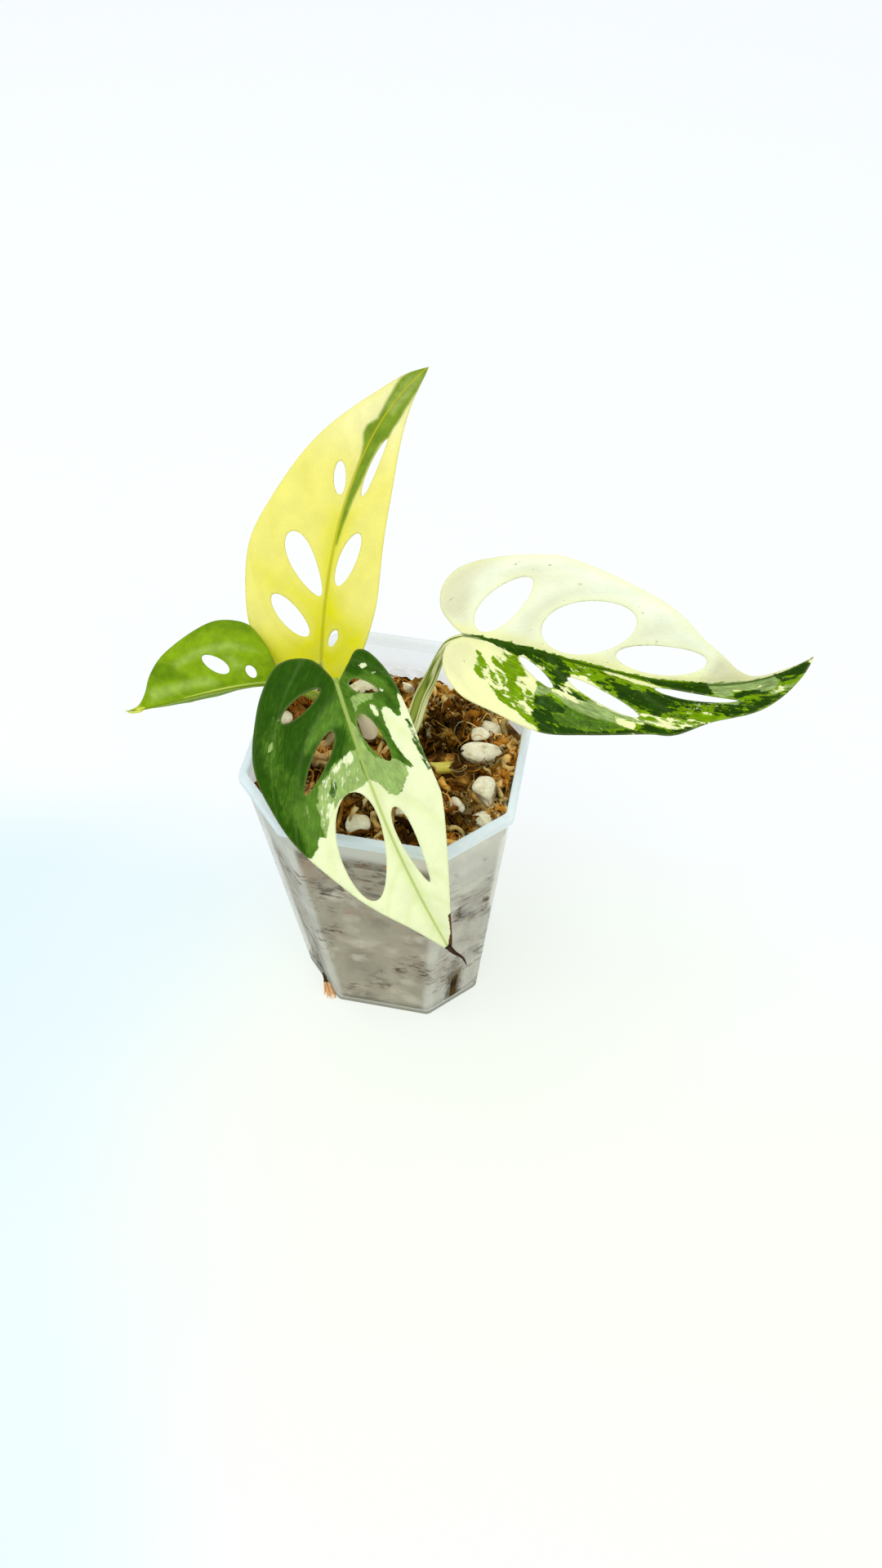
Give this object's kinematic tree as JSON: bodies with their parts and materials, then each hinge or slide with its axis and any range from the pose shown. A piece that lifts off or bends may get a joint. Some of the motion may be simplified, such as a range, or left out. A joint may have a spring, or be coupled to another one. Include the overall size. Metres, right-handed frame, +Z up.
{
  "type": "potted variegated swiss cheese vine",
  "caption": "Young variegated vine with perforated leaves on arching petioles, rooted in moss and perlite in a tapered eight-sided clear nursery pot.",
  "frame": {"origin": "centre of the pot's underside, on the surface that it stands on", "axes": "+Z up, -Y towards the front leaf, +X towards the right leaf, which reaches out over the pot's side"},
  "size_m": [0.1786, 0.1439, 0.1648],
  "materials": {
    "clear_pot": "satin",
    "moss": "matte",
    "perlite": "matte",
    "stem": "satin",
    "leaf_upright": "satin",
    "leaf_front": "satin",
    "leaf_right": "satin",
    "leaf_left": "satin"
  },
  "bodies": {
    "root": {"pot": "clear_pot", "growing_mix": "moss", "perlite_1": "perlite", "perlite_2": "perlite", "perlite_3": "perlite", "perlite_4": "perlite", "perlite_5": "perlite", "perlite_6": "perlite", "perlite_7": "perlite", "perlite_8": "perlite", "perlite_9": "perlite", "perlite_10": "perlite", "perlite_11": "perlite", "perlite_12": "perlite", "perlite_13": "perlite", "perlite_14": "perlite", "vine_stem": "stem", "leaf_upright": "leaf_upright", "leaf_front": "leaf_front", "leaf_right": "leaf_right", "leaf_left": "leaf_left"}
  },
  "joints": []
}
